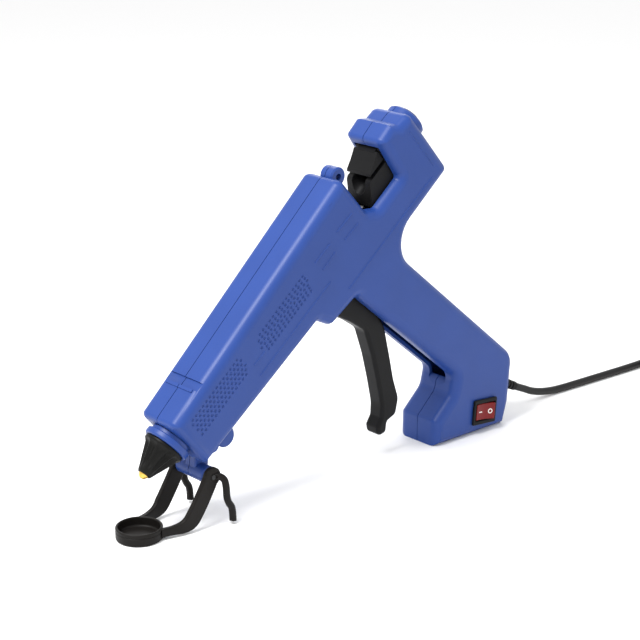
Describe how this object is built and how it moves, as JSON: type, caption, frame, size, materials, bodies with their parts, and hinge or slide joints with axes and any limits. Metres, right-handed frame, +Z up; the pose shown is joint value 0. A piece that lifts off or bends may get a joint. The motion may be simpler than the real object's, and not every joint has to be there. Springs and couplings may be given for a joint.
{
  "type": "hot glue gun",
  "caption": "Corded hot glue gun with a slanted barrel, open loading gap, squeeze trigger, rocker switch in the base and a folding front stand with a drip cup.",
  "frame": {"origin": "on the flat underside of the grip base, in the gun's middle plane, under the middle of the grip's foot", "axes": "+Z up when the gun stands on its base and stand, +X forward towards the nozzle, +Y to the gun's left, the side of the switch"},
  "size_m": [0.6106, 0.092, 0.2536],
  "materials": {
    "housing_blue": "satin",
    "black_plastic": "satin",
    "black_rubber": "matte",
    "rocker_red": "gloss",
    "silicone": "matte",
    "insulation": "matte",
    "ceramic": "matte",
    "heat_plastic": "matte",
    "aluminium": "satin",
    "steel": "satin",
    "brass": "satin"
  },
  "bodies": {
    "housing": {"left_housing": "housing_blue", "right_housing": "housing_blue", "front_ring": "housing_blue", "nozzle": "brass", "nozzle_boot": "black_rubber", "melt_chamber": "aluminium", "left_heater": "ceramic", "right_heater": "ceramic", "front_chamber_support": "heat_plastic", "rear_chamber_support": "heat_plastic", "insulation_sleeve": "insulation", "thermal_fuse": "steel", "inlet_sleeve": "silicone", "sleeve_clip": "steel", "rear_guide_bush": "black_plastic", "housing_screw_1": "steel", "housing_screw_2": "steel", "housing_screw_3": "steel", "housing_screw_4": "steel", "housing_screw_5": "steel", "housing_screw_6": "steel", "housing_screw_7": "steel", "trigger_pivot_pin": "steel", "return_spring": "steel", "switch_body": "black_plastic", "switch_terminal_1": "brass", "switch_terminal_2": "brass", "switch_terminal_3": "brass", "left_lead": "black_rubber", "right_lead": "insulation", "strain_relief": "black_rubber", "cord_clamp": "black_plastic", "left_clamp_screw": "steel", "right_clamp_screw": "steel", "power_cord": "black_rubber", "cord_coil": "black_rubber", "cord_tail": "black_rubber", "cord_tie": "black_plastic", "plug_body": "black_rubber", "left_plug_pin": "brass", "right_plug_pin": "brass"},
    "trigger": {"trigger": "black_plastic", "front_link_pin": "steel"},
    "feed_link": {"feed_link": "steel"},
    "carriage": {"feed_carriage": "black_plastic", "rear_link_pin": "steel", "clamp_pin": "steel"},
    "clamp": {"stick_clamp": "black_plastic"},
    "rocker": {"rocker_button": "rocker_red"},
    "stand": {"stand_left_arm": "black_plastic", "stand_right_arm": "black_plastic", "drip_cup": "black_plastic", "stand_pivot_pin": "steel"}
  },
  "joints": [
    {"name": "trigger_squeeze", "type": "hinge", "parent": "housing", "child": "trigger", "pos_m": [0.12979, 0, 0.12775], "axis": [0, 1, 0], "range_deg": [0, 22], "stiffness_Nm_per_rad": 0.35, "springref_deg": -20.05},
    {"name": "link_swing", "type": "hinge", "parent": "trigger", "child": "feed_link", "pos_m": [0.14196, 0, 0.14901], "axis": [0, 1, 0], "range_deg": [-22, 0]},
    {"name": "carriage_feed", "type": "slide", "parent": "housing", "child": "carriage", "axis": [0.757, 0, -0.6534], "range_m": [0, 0.00935]},
    {"name": "clamp_bite", "type": "hinge", "parent": "carriage", "child": "clamp", "pos_m": [0.08546, 0, 0.22836], "axis": [0, 1, 0], "range_deg": [0, 3.3]},
    {"name": "rocker_press", "type": "hinge", "parent": "housing", "child": "rocker", "pos_m": [-0.011, 0.02, 0.017], "axis": [-0.0872, 0, 0.9962], "range_deg": [0, 18]},
    {"name": "stand_fold", "type": "hinge", "parent": "housing", "child": "stand", "pos_m": [0.243, 0, 0.035], "axis": [0, 1, 0], "range_deg": [0, 160]}
  ],
  "couplings": [
    {"joint": "link_swing", "follows": "trigger_squeeze", "ratio": -1},
    {"joint": "carriage_feed", "follows": "trigger_squeeze", "m_per_rad": 0.02435},
    {"joint": "clamp_bite", "follows": "trigger_squeeze", "ratio": 0.15}
  ]
}
